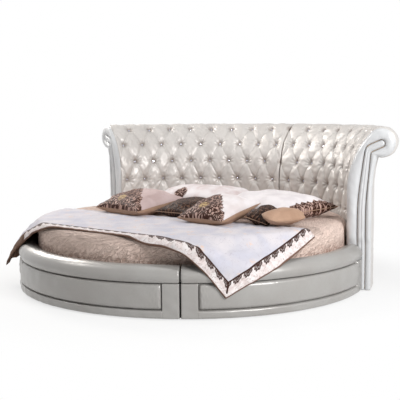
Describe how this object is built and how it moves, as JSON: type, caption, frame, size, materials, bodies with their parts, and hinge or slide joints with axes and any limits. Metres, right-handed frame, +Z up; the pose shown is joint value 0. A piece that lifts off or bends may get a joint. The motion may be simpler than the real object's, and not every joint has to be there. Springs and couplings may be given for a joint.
{
  "type": "round bed",
  "caption": "Round upholstered bed with a curved, buttoned scroll headboard, panelled padded base, slatted platform, round mattress, bedspread, throw and pillows.",
  "frame": {"origin": "on the floor, under the middle of the round mattress", "axes": "+Z up, +Y to the headboard, +X to the right seen from the foot"},
  "size_m": [2.48, 2.4239, 0.994],
  "materials": {
    "head_leatherette": "warm pearl leatherette, buttoned",
    "base_leatherette": "pearl silver leatherette with a soft shine",
    "crystal": "clear cut-glass buttons",
    "plywood": "bent birch plywood",
    "timber": "planed softwood",
    "slat_wood": "planed pale slats",
    "zinc_steel": "zinc plated",
    "black_steel": "black powder coat",
    "black_plastic": "moulded black plastic",
    "mattress_ticking": "white knitted ticking",
    "spread_cloth": "fine quilted beige cotton",
    "throw_cloth": "pale quilted cotton with a lace border",
    "pillow_cloth": "white and pink printed cotton with lace",
    "tan_cloth": "tan satin"
  },
  "bodies": {
    "root": {"base_end_blocks": "timber", "base_front_bumper": "base_leatherette", "base_front_inner_skin": "plywood", "base_front_outer_skin": "plywood", "base_front_panel": "base_leatherette", "base_front_ring_boards": "timber", "base_front_surround": "base_leatherette", "base_left_bumper": "base_leatherette", "base_left_inner_skin": "plywood", "base_left_outer_skin": "plywood", "base_left_panel": "base_leatherette", "base_left_ring_boards": "timber", "base_left_surround": "base_leatherette", "base_right_bumper": "base_leatherette", "base_right_inner_skin": "plywood", "base_right_outer_skin": "plywood", "base_right_panel": "base_leatherette", "base_right_ring_boards": "timber", "base_right_surround": "base_leatherette", "beam_hangers": "zinc_steel", "bearers": "timber", "bedspread": "spread_cloth", "glides": "black_plastic", "head_left_back_board": "plywood", "head_left_back_cover": "base_leatherette", "head_left_buttons": "crystal", "head_left_end_band": "head_leatherette", "head_left_end_board": "timber", "head_left_end_tongue": "head_leatherette", "head_left_face_board": "plywood", "head_left_rails": "timber", "head_left_ribs": "timber", "head_left_tufted_pad": "head_leatherette", "head_right_back_board": "plywood", "head_right_back_cover": "base_leatherette", "head_right_buttons": "crystal", "head_right_end_band": "head_leatherette", "head_right_end_board": "timber", "head_right_end_tongue": "head_leatherette", "head_right_face_board": "plywood", "head_right_rails": "timber", "head_right_ribs": "timber", "head_right_tufted_pad": "head_leatherette", "joint_bolts": "zinc_steel", "joint_nuts": "zinc_steel", "mattress": "mattress_ticking", "middle_beam": "timber", "middle_legs": "black_steel", "pillow_back_left": "pillow_cloth", "pillow_back_right": "pillow_cloth", "pillow_front_centre": "pillow_cloth", "pillow_front_left": "pillow_cloth", "pillow_mid_left": "pillow_cloth", "pillow_mid_right": "pillow_cloth", "pillow_tan": "tan_cloth", "slats": "slat_wood", "throw": "throw_cloth"}
  },
  "joints": []
}
